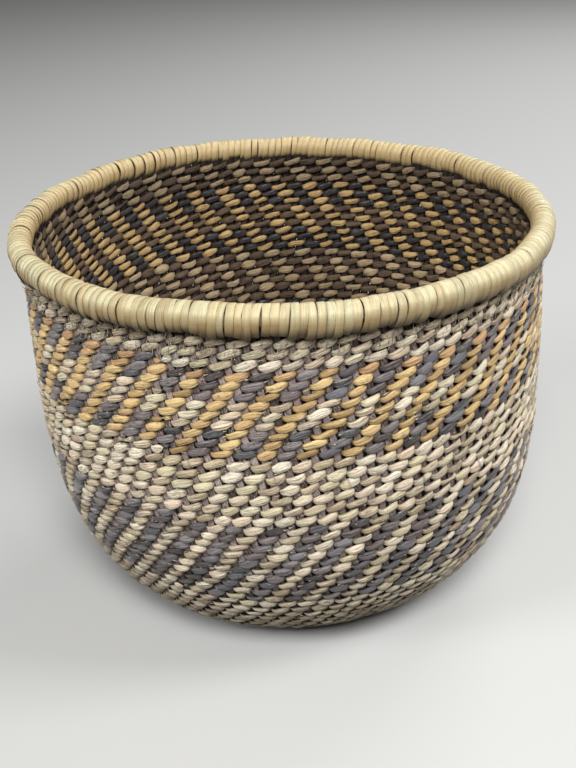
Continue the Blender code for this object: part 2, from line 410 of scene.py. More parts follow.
class ShapeTree(Tree):
    """A tree that makes a shape out of places on the wall, with its sizes as named inputs."""

    # How far the hand strays from the rule, and over what lengths
    stray_aside = 1.5 * MM
    stray_up = 0.65 * MM
    stray_deep = 0.30 * MM
    stray_period = 24.0 * MM
    fine_stray = 0.35 * MM
    fine_period = 7.0 * MM
    lump = 0.8 * MM
    lump_period = 75.0 * MM

    # The base lies flat, and the wall turns up out of it
    flat_until = 48.0 * MM
    turn_up_run = 20.0 * MM

    # Towards the rim the wall stands higher at the back
    higher_at_back = 3.6 * MM
    wall_length = 210.0 * MM

    # Low on one side the stitches have crept round
    twist = 17.0 * MM
    twist_angle = math.radians(213.0)
    twist_from = 130.0 * MM
    twist_run = 74.0 * MM

    # How far across the fibre its faces begin to be shaded flat, where 1 is its edge
    flat_shaded_from = 0.6

    def __init__(self, name: str, guide: bpy.types.Object) -> None:
        """Start a tree that follows the outline.

        Args:
            name: The tree's name.
            guide: The outline's curve object.
        """
        super().__init__(bpy.data.node_groups.new(name, "GeometryNodeTree"))
        self.nodes.interface.new_socket("Shape", in_out="OUTPUT", socket_type="NodeSocketGeometry")
        self.entry = self.node("NodeGroupInput")
        self.places: dict[str, str] = {}
        self.values: dict[str, object] = {}
        outline = self.size("Outline", guide, "NodeSocketObject")
        self.finish = self.size("Finish", None, "NodeSocketMaterial")
        info = self.node("GeometryNodeObjectInfo", {"transform_space": "ORIGINAL"}, {"Object": outline})
        self.line = self.out(info, "Geometry")

    def size(self, name: str, value: object, kind: str = "") -> Value:
        """Add a named input.

        Args:
            name: The input's name.
            value: What a piece has there unless its own sizes say otherwise.
            kind: The type of its socket, where it isn't a number's.

        Returns:
            The input's value in the tree.
        """
        kind = kind or ("NodeSocketInt" if isinstance(value, int) else "NodeSocketFloat")
        socket = self.nodes.interface.new_socket(name, in_out="INPUT", socket_type=kind)
        self.places[name] = socket.identifier
        self.values[name] = value
        return self.out(self.entry, name)

    def follow(self, distance: Value) -> tuple[Value, Value, Value, Value]:
        """Read the outline.

        Args:
            distance: How far along it.

        Returns:
            The radius and height there, and how far the line runs out and up for each metre.
        """
        node = self.node("GeometryNodeSampleCurve", {"mode": "LENGTH"},
                         {"Curves": self.line, "Length": distance})
        radius, _, height = self.parts(self.out(node, "Position"))
        run_out, _, run_up = self.parts(self.out(node, "Tangent"))
        return radius, height, run_out, run_up

    def place(self, angle: Value, distance: Value, depth: Number) -> Value:
        """Find a point of the wall.

        Args:
            angle: Its angle about Z.
            distance: Its distance along the outline.
            depth: Its depth into the wall from the outer face.

        Returns:
            The point.
        """
        radius, height, run_out, run_up = self.follow(distance)
        up = height + depth * run_out
        level = up / Outline.bulge_height
        swelling = (level * (1.0 - level).exponential()) ** Outline.bulge_tightness
        facing = (0.5 + 0.5 * (angle - Outline.bulge_angle).cosine()) ** Outline.bulge_tightness
        stretch = Outline.bulge / (Outline.base_radius + Outline.heel_spread)
        away = (radius - depth * run_up) * (1.0 + stretch * swelling * facing)
        return self.vector(away * angle.cosine(), away * angle.sine(), up)

    def stray(self, angle: Value, distance: Value) -> tuple[Value, Value, Value]:
        """How far hand work leaves a place from where it should be.

        Args:
            angle: The angle of the place.
            distance: Its distance along the outline.

        Returns:
            Metres aside, up the wall and into the wall.
        """
        point = self.place(angle, distance, 0.0)
        near = self.noise(point, self.stray_period)
        fine = self.noise(point, self.fine_period)
        wide = self.noise(point, self.lump_period)
        risen = ((distance - self.flat_until) / self.turn_up_run).within()
        beside = (angle - self.twist_angle).cosine().within() ** 4.0
        lower = ((self.twist_from - distance) / self.twist_run).within()
        lower = lower * (distance / self.flat_until).within()
        crept = self.twist * beside * lower
        at_back = (0.5 + 0.5 * angle.sine()) ** 2.0 * (distance / self.wall_length) ** 3.0
        aside = near[0] * self.stray_aside + fine[0] * self.fine_stray - crept
        up = ((near[1] + wide[1]) * self.stray_up + fine[1] * (self.fine_stray / 2)
              + at_back * self.higher_at_back)
        deep = near[2] * self.stray_deep + wide[0] * self.lump
        return aside, up, deep * risen

    def tube(self, sides: int, steps: Number) -> tuple[Value, Value, Value, Value]:
        """Add a straight tube, which the tree then bends onto its path.

        Args:
            sides: How many sides its section has.
            steps: How many steps its length has.

        Returns:
            The tube, where a point is across and through the section, each from -1 to 1, and
            how far along the tube it is, from 0 to 1.
        """
        node = self.node("GeometryNodeMeshCylinder", {"fill_type": "NGON"},
                         {"Vertices": sides, "Side Segments": steps, "Radius": 1.0, "Depth": 1.0})
        across, through, along = self.parts(self.out(self.node("GeometryNodeInputPosition")))
        return self.out(node, "Mesh"), across, through, along + 0.5

    def copies(self, shape: Value, count: Value) -> tuple[Value, Value]:
        """Repeat a shape, and number each copy.

        Args:
            shape: What is repeated.
            count: How many copies there are.

        Returns:
            The copies, and each point's copy number.
        """
        points = self.node("GeometryNodePoints", None, {"Count": count})
        placed = self.node("GeometryNodeInstanceOnPoints", None,
                           {"Points": self.out(points), "Instance": shape})
        index = self.out(self.node("GeometryNodeInputIndex"))
        numbered = self.carry(self.out(placed), {"copy": index}, "INSTANCE")
        loose = self.out(self.node("GeometryNodeRealizeInstances", None, {"Geometry": numbered}))
        number = self.node("GeometryNodeInputNamedAttribute", {"data_type": "FLOAT"}, {"Name": "copy"})
        return loose, self.out(number, "Attribute")

    def carry(self, shape: Value, values: dict[str, Value], domain: str = "POINT") -> Value:
        """Store values on a shape.

        Args:
            shape: The shape.
            values: The values by name, for the finish to read.
            domain: What each value belongs to, such as a point.

        Returns:
            The shape with the values.
        """
        for name, value in values.items():
            node = self.node("GeometryNodeStoreNamedAttribute", {"data_type": "FLOAT", "domain": domain},
                             {"Geometry": shape, "Name": name, "Value": value})
            shape = self.out(node)
        return shape

    def close(self, shape: Value, point: Value, across: Value) -> None:
        """Move the shape's points to their places and end the tree.

        Args:
            shape: The shape.
            point: Where each point goes.
            across: Where a point is across the fibre, whose narrow sides are shaded flat.
        """
        moved = self.node("GeometryNodeSetPosition", None, {"Geometry": shape, "Position": point})
        of_face = self.node("GeometryNodeFieldOnDomain", {"domain": "FACE", "data_type": "FLOAT"},
                            {0: across.size()})
        rounded = self.out(of_face).below(self.flat_shaded_from)
        smooth = self.node("GeometryNodeSetShadeSmooth", {"domain": "FACE"},
                           {"Geometry": self.out(moved), "Selection": rounded})
        loose = self.node("GeometryNodeRealizeInstances", None, {"Geometry": self.out(smooth)})
        dressed = self.node("GeometryNodeSetMaterial", None,
                            {"Geometry": self.out(loose), "Material": self.finish})
        self.node("NodeGroupOutput", None, {0: self.out(dressed)})

    def make(self, name: str, finish: bpy.types.Material,
             sizes: dict[str, float] | None = None) -> bpy.types.Object:
        """Make one piece.

        Args:
            name: The piece's name.
            finish: Its material.
            sizes: The named inputs that are its own.

        Returns:
            The piece, as a plain mesh at the origin.
        """
        piece = bpy.data.objects.new(name, bpy.data.meshes.new(name))
        bpy.context.scene.collection.objects.link(piece)
        grower = piece.modifiers.new("shape", "NODES")
        grower.node_group = self.nodes
        for size, value in {**self.values, "Finish": finish, **(sizes or {})}.items():
            grower[self.places[size]] = value
        depsgraph = bpy.context.evaluated_depsgraph_get()
        mesh = bpy.data.meshes.new_from_object(
            piece.evaluated_get(depsgraph), preserve_all_data_layers=True, depsgraph=depsgraph)
        piece.modifiers.clear()
        piece.data = mesh
        mesh.name = name
        return piece


@dataclass(frozen=True)
class FibreFinish:
    """A plant fibre: streaks along it, a tone of its own in each stitch, and painted shade where it tucks
    in.

    The shape carries numbers to it, and one that a shape leaves out reads as 0. "along" and
    "across" are places on the fibre. "tone" and "hank" are random for each stitch and for each
    length of fibre. The number for painted shade rises to 1 where shade falls: where a strand turns
    in between the stakes and on its back, on the sides of the stakes and under the rim. "inside" is
    0.5 inside the basket on a strand that keeps some of its colour there, and 1 or more on a fibre
    that has gone brown. The number for redness is 1 where the fibre is redder; on the rim it browns
    the underside, partly the split's own colour and partly painted shade.
    """

    name: str
    deep: Colour
    pale: Colour
    other: Colour
    third: Colour
    grime_and_shade: Colour
    half_inner: Colour
    inner: Colour
    blush: Colour = (0.62, 0.30, 0.12)
    other_share: float = 0.35
    contrast: float = 1.0
    patchiness: float = 0.12
    patch_size: float = 18.0 * MM
    speck_size: float = 0.55 * MM
    edge_start: float = 0.80
    edge_grime_and_shade: float = 0.35
    edge_rarity: float = 0.5
    roughness: float = 0.5
    specular: float = 0.4
    coat: float = 0.0
    coat_roughness: float = 0.28
    streaks_across: float = 2.0
    streak_length: float = 1.6
    relief: float = 0.36 * MM

    # How much painted shade darkens it low on the wall and under the rim, where less light reaches, and
    # where these parts of it are
    foot_and_neck_shade: float = 0.22
    foot_top: float = 58.8 * MM
    foot_run: float = 28.0 * MM
    neck_bottom: float = 124.0 * MM
    neck_run: float = 14.0 * MM

    def material(self) -> bpy.types.Material:
        """Build the finish.

        Returns:
            The material.
        """
        tree = SurfaceTree(self.name)
        along, across, tone, hank, tuck, inside, blush = (
            tree.out(tree.node("ShaderNodeAttribute", {"attribute_name": carried}), "Fac")
            for carried in ("along", "across", "tone", "hank", "tuck", "inside", "blush"))
        grain, fine = (
            tree.noise(tree.vector(along / self.streak_length * shorter,
                                   across * self.streaks_across * thinner,
                                   hank * 40.0 + tone * shift), 1.0, 1.0)
            for shorter, thinner, shift in ((1.0, 1.0, 2.0), (1.5, 2.6, 3.0)))
        place = tree.out(tree.node("ShaderNodeTexCoord"), "Object")
        patch = tree.noise(place, self.patch_size, 1.0)
        speck = tree.noise(place, self.speck_size, 1.0)

        # Tone of the fibre: the cut edges are paler, partly bare fibre and partly a painted highlight; the
        # glints are painted highlights; the creases are darkened with painted shade
        pared_edge_and_highlight = ((across.size() - 0.66).line(0.13) * (0.55 + 0.6 * grain[2])).within()
        crease = grain[1].line(0.16)
        glint = grain[2].line(0.14)
        rib = grain[0] * 0.55 + fine[0] * 0.62 + speck[0] * 0.36
        light = (0.60 + self.patchiness * patch[0]
                 + self.contrast * (0.46 * rib + 0.84 * (tone - 0.5) + 0.34 * (hank - 0.5)
                                    - 0.24 * crease + 0.40 * glint + 0.45 * pared_edge_and_highlight)).within()
        turned = ((hank * 7.0 + tone * 0.6).fraction() * 2.0 * self.other_share
                  + 0.18 * patch[1] + 0.15 * grain[1]).within(0.0, 0.9)
        tinted = ((hank * 3.0 + tone * 0.8 + 0.3).fraction() * 1.6 - 0.8 + 0.3 * patch[2]).within(0.0, 0.75)
        in_pale = 0.35 + 0.65 * light

        # What takes the fibre towards its darkest colour: its narrow sides, partly grime and partly painted
        # shade between neighbours; painted shade where it tucks in, low on the wall and under the rim; faces
        # turned into the basket; painted shade in the creases; and specks
        edge = ((across.size() - self.edge_start) * 12.0).within()
        uneven = ((tone * 17.0 + 0.2).fraction() ** self.edge_rarity).within(0.10, 1.0)
        height = tree.parts(place)[2]
        shaded_foot_and_neck = (((height - self.neck_bottom) / self.neck_run).within()
               + ((self.foot_top - height) / self.foot_run).within(0.0, 1.8))
        grime_and_painted_shade = (edge * self.edge_grime_and_shade * uneven + (tuck - 0.30).within() * 2.2
                  + shaded_foot_and_neck * self.foot_and_neck_shade + inside * 0.20
                  + 0.12 * crease * (0.6 + 0.4 * fine[1]) + 0.10 * speck[1]).within(0.0, 0.94)

        colour = tree.mixed(light, self.deep, self.pale)
        for share, towards in (
                (turned * in_pale, self.other),
                (tinted * in_pale, self.third),
                ((blush * (0.4 + 0.5 * tone)).within(), self.blush),
                ((inside * (1.1 + 0.8 * tone)).within(0.0, 0.8), self.half_inner),
                (((inside - 0.5) * (0.7 + 0.9 * tone)).within(0.0, 0.9), self.inner),
                (grime_and_painted_shade, self.grime_and_shade)):
            colour = tree.mixed(share, colour, towards)
        bump = tree.node("ShaderNodeBump", None, {
            "Strength": 1.0, "Distance": self.relief, "Height": rib * 0.7 - crease * 0.4 + glint * 0.4})
        return tree.close({
            "Base Color": colour,
            "Roughness": (self.roughness + 0.08 * grain[2] + 0.30 * grime_and_painted_shade).within(0.15, 1.0),
            "Normal": tree.out(bump),
            "Specular IOR Level": self.specular,
            "Coat Weight": self.coat,
            "Coat Roughness": self.coat_roughness,
        })


# The finishes, with colours as (red, green, blue) from 0 to 1. Grime and painted shade take each fibre
# towards its darkest colour
NATURAL = FibreFinish(
    name="natural_weft",
    deep=(0.32, 0.24, 0.145), pale=(0.98, 0.90, 0.71), other=(0.84, 0.62, 0.44),
    third=(0.74, 0.65, 0.39), grime_and_shade=(0.026, 0.016, 0.009),
    half_inner=(0.44, 0.29, 0.135), inner=(0.125, 0.075, 0.050),
    contrast=1.2, foot_and_neck_shade=0.32)
GOLD = FibreFinish(
    name="gold_weft",
    deep=(0.40, 0.25, 0.10), pale=(0.93, 0.70, 0.32), other=(0.66, 0.40, 0.18),
    third=(0.82, 0.55, 0.24), grime_and_shade=(0.050, 0.028, 0.012),
    half_inner=(0.60, 0.395, 0.16), inner=(0.34, 0.21, 0.09), blush=(0.64, 0.36, 0.18),
    contrast=1.2, foot_and_neck_shade=0.32, other_share=0.32, roughness=0.42, coat=0.15)
DARK = FibreFinish(
    name="dark_weft",
    deep=(0.014, 0.011, 0.010), pale=(0.33, 0.30, 0.295), other=(0.17, 0.115, 0.105),
    third=(0.09, 0.105, 0.128), grime_and_shade=(0.012, 0.008, 0.005),
    half_inner=(0.080, 0.067, 0.067), inner=(0.038, 0.034, 0.037),
    contrast=1.5, foot_and_neck_shade=0.40, roughness=0.36, coat=0.30)
STAKE = FibreFinish(
    name="warp",
    deep=(0.066, 0.044, 0.037), pale=(0.64, 0.53, 0.49), other=(0.36, 0.25, 0.215),
    third=(0.26, 0.215, 0.18), grime_and_shade=(0.012, 0.007, 0.004),
    half_inner=(0.075, 0.052, 0.043), inner=(0.042, 0.028, 0.022),
    contrast=1.5, patchiness=0.40, foot_and_neck_shade=0.50, roughness=0.65, specular=0.20,
    streaks_across=2.6, streak_length=0.30)
# The rim's browner underside colour is partly the split's own and partly painted shade, and its dark joints
# are partly grime and partly painted shade
RIM_SPLIT = FibreFinish(
    name="rim_split",
    deep=(0.38, 0.285, 0.137), pale=(0.69, 0.64, 0.41), other=(0.64, 0.49, 0.25),
    third=(0.615, 0.61, 0.388), grime_and_shade=(0.050, 0.028, 0.012),
    half_inner=(0.70, 0.54, 0.28), inner=(0.56, 0.39, 0.175),
    blush=(0.34, 0.235, 0.10), other_share=0.30, contrast=0.85, foot_and_neck_shade=0.0,
    edge_start=0.62, edge_grime_and_shade=0.90, edge_rarity=3.0, roughness=0.42,
    coat=0.12, streaks_across=4.5, streak_length=3.0, relief=0.07 * MM)
FIBRE_FINISHES = (NATURAL, GOLD, DARK, STAKE, RIM_SPLIT)


@dataclass(frozen=True)
class BarkFinish:
    """Dull bark in patches, for a piece that carries no numbers of its own."""

    name: str
    deep: Colour
    pale: Colour
    roughness: float = 0.8
    patch: float = 3.0 * MM
    relief: float = 0.12 * MM

    def material(self) -> bpy.types.Material:
        """Build the finish.

        Returns:
            The material.
        """
        tree = SurfaceTree(self.name)
        place = tree.out(tree.node("ShaderNodeTexCoord"), "Object")
        patch = tree.noise(place, self.patch, 3.0)
        speck = tree.noise(place, self.patch / 6.0, 1.0)
        light = (0.5 + 0.35 * patch[0] + 0.15 * speck[0]).within()
        bump = tree.node("ShaderNodeBump", None, {"Distance": self.relief, "Height": speck[1]})
        return tree.close({
            "Base Color": tree.mixed(light, self.deep, self.pale),
            "Roughness": (self.roughness + 0.1 * patch[1]).within(),
            "Normal": tree.out(bump),
        })


ROD = BarkFinish(name="rod", deep=(0.10, 0.06, 0.03), pale=(0.30, 0.20, 0.11))
KNOT = BarkFinish(name="knot", deep=(0.12, 0.085, 0.08), pale=(0.34, 0.26, 0.25), patch=1.5 * MM)
BARK_FINISHES = (ROD, KNOT)


class Strand(Enum):
    """The two strands of weft, which lie half a wave apart."""

    FIRST = 0
    SECOND = 1


@dataclass(frozen=True)
class Band:
    """A stretch of courses with the same stakes, course height and strands."""

    name: str
    course_count: float
    course_height: float
    start: float
    start_turn: float
    stake_count: int
    finishes: tuple[str, str]
    seed: int
    blushes: bool = False


@dataclass(frozen=True)
class Weave:
    """The sizes of the twining, and what makes its strands.

    A strand rises a little while it is outside the stakes, and sinks as much inside them.
    """

    guide: bpy.types.Object
    materials: dict[str, bpy.types.Material]
    middle_depth: float = 2.5 * MM
    usual_course: float = 3.8 * MM
    lean: float = 0.13
    seam: float = math.radians(4.0)
    early: float = 0.33
    steps_per_stitch: int = 8
    hank_stitches: float = 41.0

    # The path of a strand, and how much it differs from stitch to stitch
    swing: float = 1.60 * MM
    snap: float = 2.6
    rise_share: float = 0.125
    straightness: float = 0.95
    uneven_swing: float = 0.22
    uneven_rise: float = 0.70 * MM
    uneven_slant: float = 0.55 * MM

    # The section of a strand, which is widest near the middle of each stitch
    half_width: float = 1.60 * MM
    half_width_at_crossing: float = 0.80 * MM
    uneven_width: float = 0.42
    width_lag: float = 0.20
    uneven_lag: float = 1.5
    skew: float = 1.1
    bluntness: float = 0.36
    half_thickness: float = 0.50 * MM
    fold: float = 0.50 * MM
    uneven_roll: float = 0.45
    taper: float = 0.35
    worn_share: float = 0.006
    worn_narrowing: float = 0.66

    # How far a strand has browned inside the basket, and after how many courses one turns redder
    browned: float = 1.4
    half_browned: float = 0.5
    blush_start: float = 1.85

    def stitches_per_turn(self, stake_count: int) -> float:
        """How many stitches go once round, with the stakes leaning as they do."""
        return stake_count / 2 + self.lean

    def strand_tree(self) -> ShapeTree:
        """Make the tree of one strand of weft.

        Returns:
            The tree.
        """
        tree = ShapeTree("strand", self.guide)
        steps = tree.size("Steps", 1)
        per_turn, first, count, start, course, strand, seed, inner_tone, blush = (
            tree.size(name, 0.0) for name in (
                "Stitches per turn", "First stitch", "Stitches", "Start", "Course height",
                "Strand", "Seed", "Inner tone", "Blush"))
        full = tree.size("Half width", self.half_width)
        thin = tree.size("Half width at crossing", self.half_width_at_crossing)
        half_thickness = tree.size("Half thickness", self.half_thickness)
        fold = tree.size("Fold", self.fold)
        swing = tree.size("Swing", self.swing)
        middle = tree.size("Middle depth", self.middle_depth)
        seam = tree.size("Seam", self.seam)

        tube, across, through, along = tree.tube(8, steps)
        stitch = first + along * count
        courses = (stitch - first) / per_turn
        distance = start + courses * course
        angle = stitch / per_turn * FULL_TURN + seam
        radius = tree.follow(distance)[0]
        pitch = radius * FULL_TURN / per_turn
        phase = (stitch + strand) * math.pi
        ahead = phase.cosine()
        beside = phase.sine()

        number = (stitch + 0.5).floor()
        part = (stitch + 0.5).fraction()
        swell = (part * math.pi).sine()
        width_chance, swing_chance, rise_chance, tone = tree.chance(number, seed)
        slant_chance, roll_chance, fold_chance, wear = tree.chance(number, seed + 0.5)
        lag_chance = tree.chance(number, seed + 0.75)[1]
        hank = tree.chance((stitch / self.hank_stitches + strand * 0.5).floor(), seed + 0.25)[0]
        worn = wear.above(1.0 - self.worn_share)

        bend = (ahead * self.snap).tanh() / math.tanh(self.snap)
        out = swing * bend * (1.0 + self.uneven_swing * (swing_chance - 0.5) * swell)
        steepest = self.rise_share / math.asin(self.straightness)
        rise = (pitch * (beside * self.straightness).arcsine() * steepest
                + (rise_chance - 0.5) * self.uneven_rise * swell
                + (slant_chance - 0.5) * self.uneven_slant * (part * FULL_TURN).sine())
        level = (1.0 - (beside * self.straightness) ** 2.0) ** 0.5
        up_slope = pitch * ahead / level * (steepest * self.straightness * math.pi)
        flat = 1.0 - bend * bend * math.tanh(self.snap) ** 2
        out_slope = swing * beside * flat * (-self.snap * math.pi / math.tanh(self.snap))
        run = (pitch * pitch + up_slope * up_slope) ** 0.5
        heading = tree.vectors("NORMALIZE", tree.vector(pitch, up_slope, out_slope))
        side = tree.vector(-up_slope / run, pitch / run, 0.0)
        face_x, face_y, face_z = tree.parts(tree.vectors("CROSS_PRODUCT", heading, side))

        uneven_lag = (lag_chance - 0.5) * self.uneven_lag + (slant_chance + 0.1) * self.skew * across
        lag = self.width_lag + uneven_lag * swell
        fullness = (0.5 + 0.5 * (phase * 2.0 - lag).cosine()) ** self.bluntness
        spread = (1.0 + self.uneven_width * (width_chance - 0.55) * swell
                  - self.worn_narrowing * worn * swell)
        ends = ((along.least(1.0 - along) * count / self.taper).within() * 0.999 + 0.001) ** 0.5
        wide = fullness.blend(thin, full) * spread * across.squarer(0.45) * ends
        folded = fold * (fold_chance - 0.22) * (1.0 - across.size() * 1.4) * swell
        thick = (half_thickness * through.squarer(0.8) + folded * through.above(0.0)) * ends
        roll = (roll_chance - 0.5) * self.uneven_roll * swell
        aside = -up_slope / run * wide + face_x * thick
        up = pitch / run * wide + face_y * thick
        outward = face_z * thick + wide * roll
        stray_aside, stray_up, stray_deep = tree.stray(angle, distance)
        point = tree.place(angle + (aside + stray_aside) / radius,
                           distance + rise + up + stray_up,
                           middle - out - outward + stray_deep)
        shape = tree.carry(tube, {
            "along": stitch,
            "across": across,
            "tone": tone,
            "hank": hank,
            # Painted shade where the strand turns in between the stakes and on its back face
            "tuck": (0.75 - ahead.size() * 1.3).most(through * bend * -1.0),
            "inside": (ahead * -3.0).within() * inner_tone,
            "blush": (blush * (courses - self.blush_start) * 4.0).within(),
        })
        tree.close(shape, point, across)
        return tree

    def strand(self, tree: ShapeTree, band: Band, strand: Strand) -> bpy.types.Object:
        """Make one strand of a band.

        Args:
            tree: The strands' tree.
            band: The band that it runs through.
            strand: Which of the two strands it is.

        Returns:
            The piece.
        """
        per_turn = self.stitches_per_turn(band.stake_count)
        count = per_turn * band.course_count
        finish = band.finishes[strand.value]
        name = f"{band.name}_weft_{strand.name.lower()}"
        tightest = (band.start + band.course_height) * FULL_TURN / per_turn
        piece = tree.make(name, self.materials[finish], {
            "Steps": round(count * self.steps_per_stitch),
            "Stitches per turn": per_turn,
            "First stitch": per_turn * band.start_turn,
            "Stitches": count,
            "Start": band.start,
            "Course height": band.course_height,
            "Strand": float(strand.value),
            "Seed": float(band.seed * 2 + strand.value),
            "Inner tone": self.browned if strand is Strand.FIRST else self.half_browned,
            "Half width": self.half_width * band.course_height / self.usual_course,
            "Blush": float(band.blushes and finish == "gold_weft"),
        })
        LOG.info("%s: %.0f stitches, least %.1f mm", name, count, tightest / MM)
        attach(piece, "root")
        return piece


# The bands of the wall from the heel up: name, courses, course height against the mean one, and
# the finish of each strand
WALL_BANDS = (
    ("heel", 15, 1.00, ("natural_weft", "natural_weft")),
    ("lower_dark", 10, 1.00, ("dark_weft", "natural_weft")),
    ("middle_pale", 6, 1.10, ("natural_weft", "natural_weft")),
    ("lower_gold", 3, 0.915, ("dark_weft", "gold_weft")),
    ("centre_gold", 3, 0.915, ("natural_weft", "gold_weft")),
    ("upper_gold", 3, 0.915, ("dark_weft", "gold_weft")),
    ("top_pale", 3, 0.935, ("natural_weft", "natural_weft")),
)


@dataclass(frozen=True)
class Wall:
    """The wall: its bands of weft, from the edge of the base up to the rim."""

    outline: Outline
    weave: Weave
    top: float
    stake_count: int = 171
    first_seed: int = 10

    def bands(self) -> list[Band]:
        """Work out where the bands lie.

        Returns:
            The bands, from the heel up.
        """
        total = sum(count * ratio for _, count, ratio, _ in WALL_BANDS)
        mean_height = (self.top - self.outline.base_radius) / (total - 1.0)
        found = []
        start = self.outline.base_radius - self.weave.early * mean_height
        turn = -self.weave.early
        for seed, (name, count, ratio, finishes) in enumerate(WALL_BANDS):
            height = mean_height * ratio
            found.append(Band(name, count, height, start, turn, self.stake_count, finishes,
                              seed + self.first_seed, blushes=name == "upper_gold"))
            start += count * height
            turn += count
        return found

    def build(self) -> None:
        """Make both strands of each band."""
        tree = self.weave.strand_tree()
        for band in self.bands():
            for strand in Strand:
                piece = self.weave.strand(tree, band, strand)
                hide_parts(band.name + "_weft_outer", band.name + "_weft_inner")


@dataclass(frozen=True)
class Stakes:
    """The upright stakes of the wall and of each ring of the base."""

    weave: Weave
    half_width: float = 1.90 * MM
    half_thickness: float = 0.75 * MM
    crowding: float = 0.515
    step: float = 3.0 * MM
    uneven_width: float = 0.04
    uneven_place: float = 0.10 * MM
    grain_length: float = 7.0 * MM
    seed: float = 3.0

    def tree(self, bands: list[Band], low: float, high: float) -> ShapeTree:
        """Make the tree of the stakes that run through some bands.

        Args:
            bands: The bands, from the heel up or from the middle out.
            low: Where the stakes start, as a distance along the outline.
            high: Where they end.

        Returns:
            The tree.
        """
        tree = ShapeTree("stakes", self.weave.guide)
        count = tree.size("Stakes", bands[0].stake_count)
        steps = tree.size("Steps", round((high - low) / self.step))
        start = tree.size("Start", low)
        end = tree.size("End", high)
        lean = tree.size("Lean", self.weave.lean)
        seam = tree.size("Seam", self.weave.seam)
        full = tree.size("Half width", self.half_width)
        thickness = tree.size("Half thickness", self.half_thickness)
        middle = tree.size("Middle depth", self.weave.middle_depth)
        crowding = tree.size("Crowding", self.crowding)

        stake, across, through, along = tree.tube(6, steps)
        copies, number = tree.copies(stake, count)
        chance = tree.chance(number, self.seed)
        distance = start + along * (end - start)
        turn: Number = float(bands[0].start_turn)
        for band in bands:
            passed = (distance - band.start) / band.course_height
            turn = turn + passed.within(0.0, float(band.course_count))
        per_turn = count * 0.5 + lean
        stitch = number * 0.5 + 0.25
        stepped = (per_turn * turn - stitch) / (count * 0.5)
        angle = (stitch - lean * stepped) / per_turn * FULL_TURN + seam
        radius = tree.follow(distance)[0]
        room = radius * FULL_TURN / count * crowding
        wide = full.least(room) * (1.0 + self.uneven_width * (chance[0] - 0.5))
        ends = ((along.least(1.0 - along) * 200.0).within() * 0.6 + 0.4) ** 0.5
        stray_aside, stray_up, stray_deep = tree.stray(angle, distance)
        aside = wide * across * ends + stray_aside + (chance[1] - 0.5) * self.uneven_place
        depth = middle - thickness * through * ends + stray_deep
        point = tree.place(angle + aside / radius, distance + stray_up, depth)
        shape = tree.carry(copies, {
            "along": distance / self.grain_length + number * 3.7,
            "across": across,
            "tone": chance[2],
            "hank": chance[3],
            # Painted shade on the sides of each stake, where the strands cover it
            "tuck": 0.30 + (across.size() - 0.55) * 4.0,
            "inside": (through * -1.6).within(),
        })
        tree.close(shape, point, across * 0.5)
        return tree

    def build(self, name: str, bands: list[Band], low: float, high: float) -> bpy.types.Object:
        """Make the stakes that run through some bands.

        Args:
            name: The piece's name.
            bands: The bands, from the heel up or from the middle out.
            low: Where the stakes start, as a distance along the outline.
            high: Where they end.

        Returns:
            The piece.
        """
        piece = self.tree(bands, low, high).make(name, self.weave.materials["warp"])
        LOG.info("%s: %d stakes", name, bands[0].stake_count)
        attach(piece, "root")
        return piece


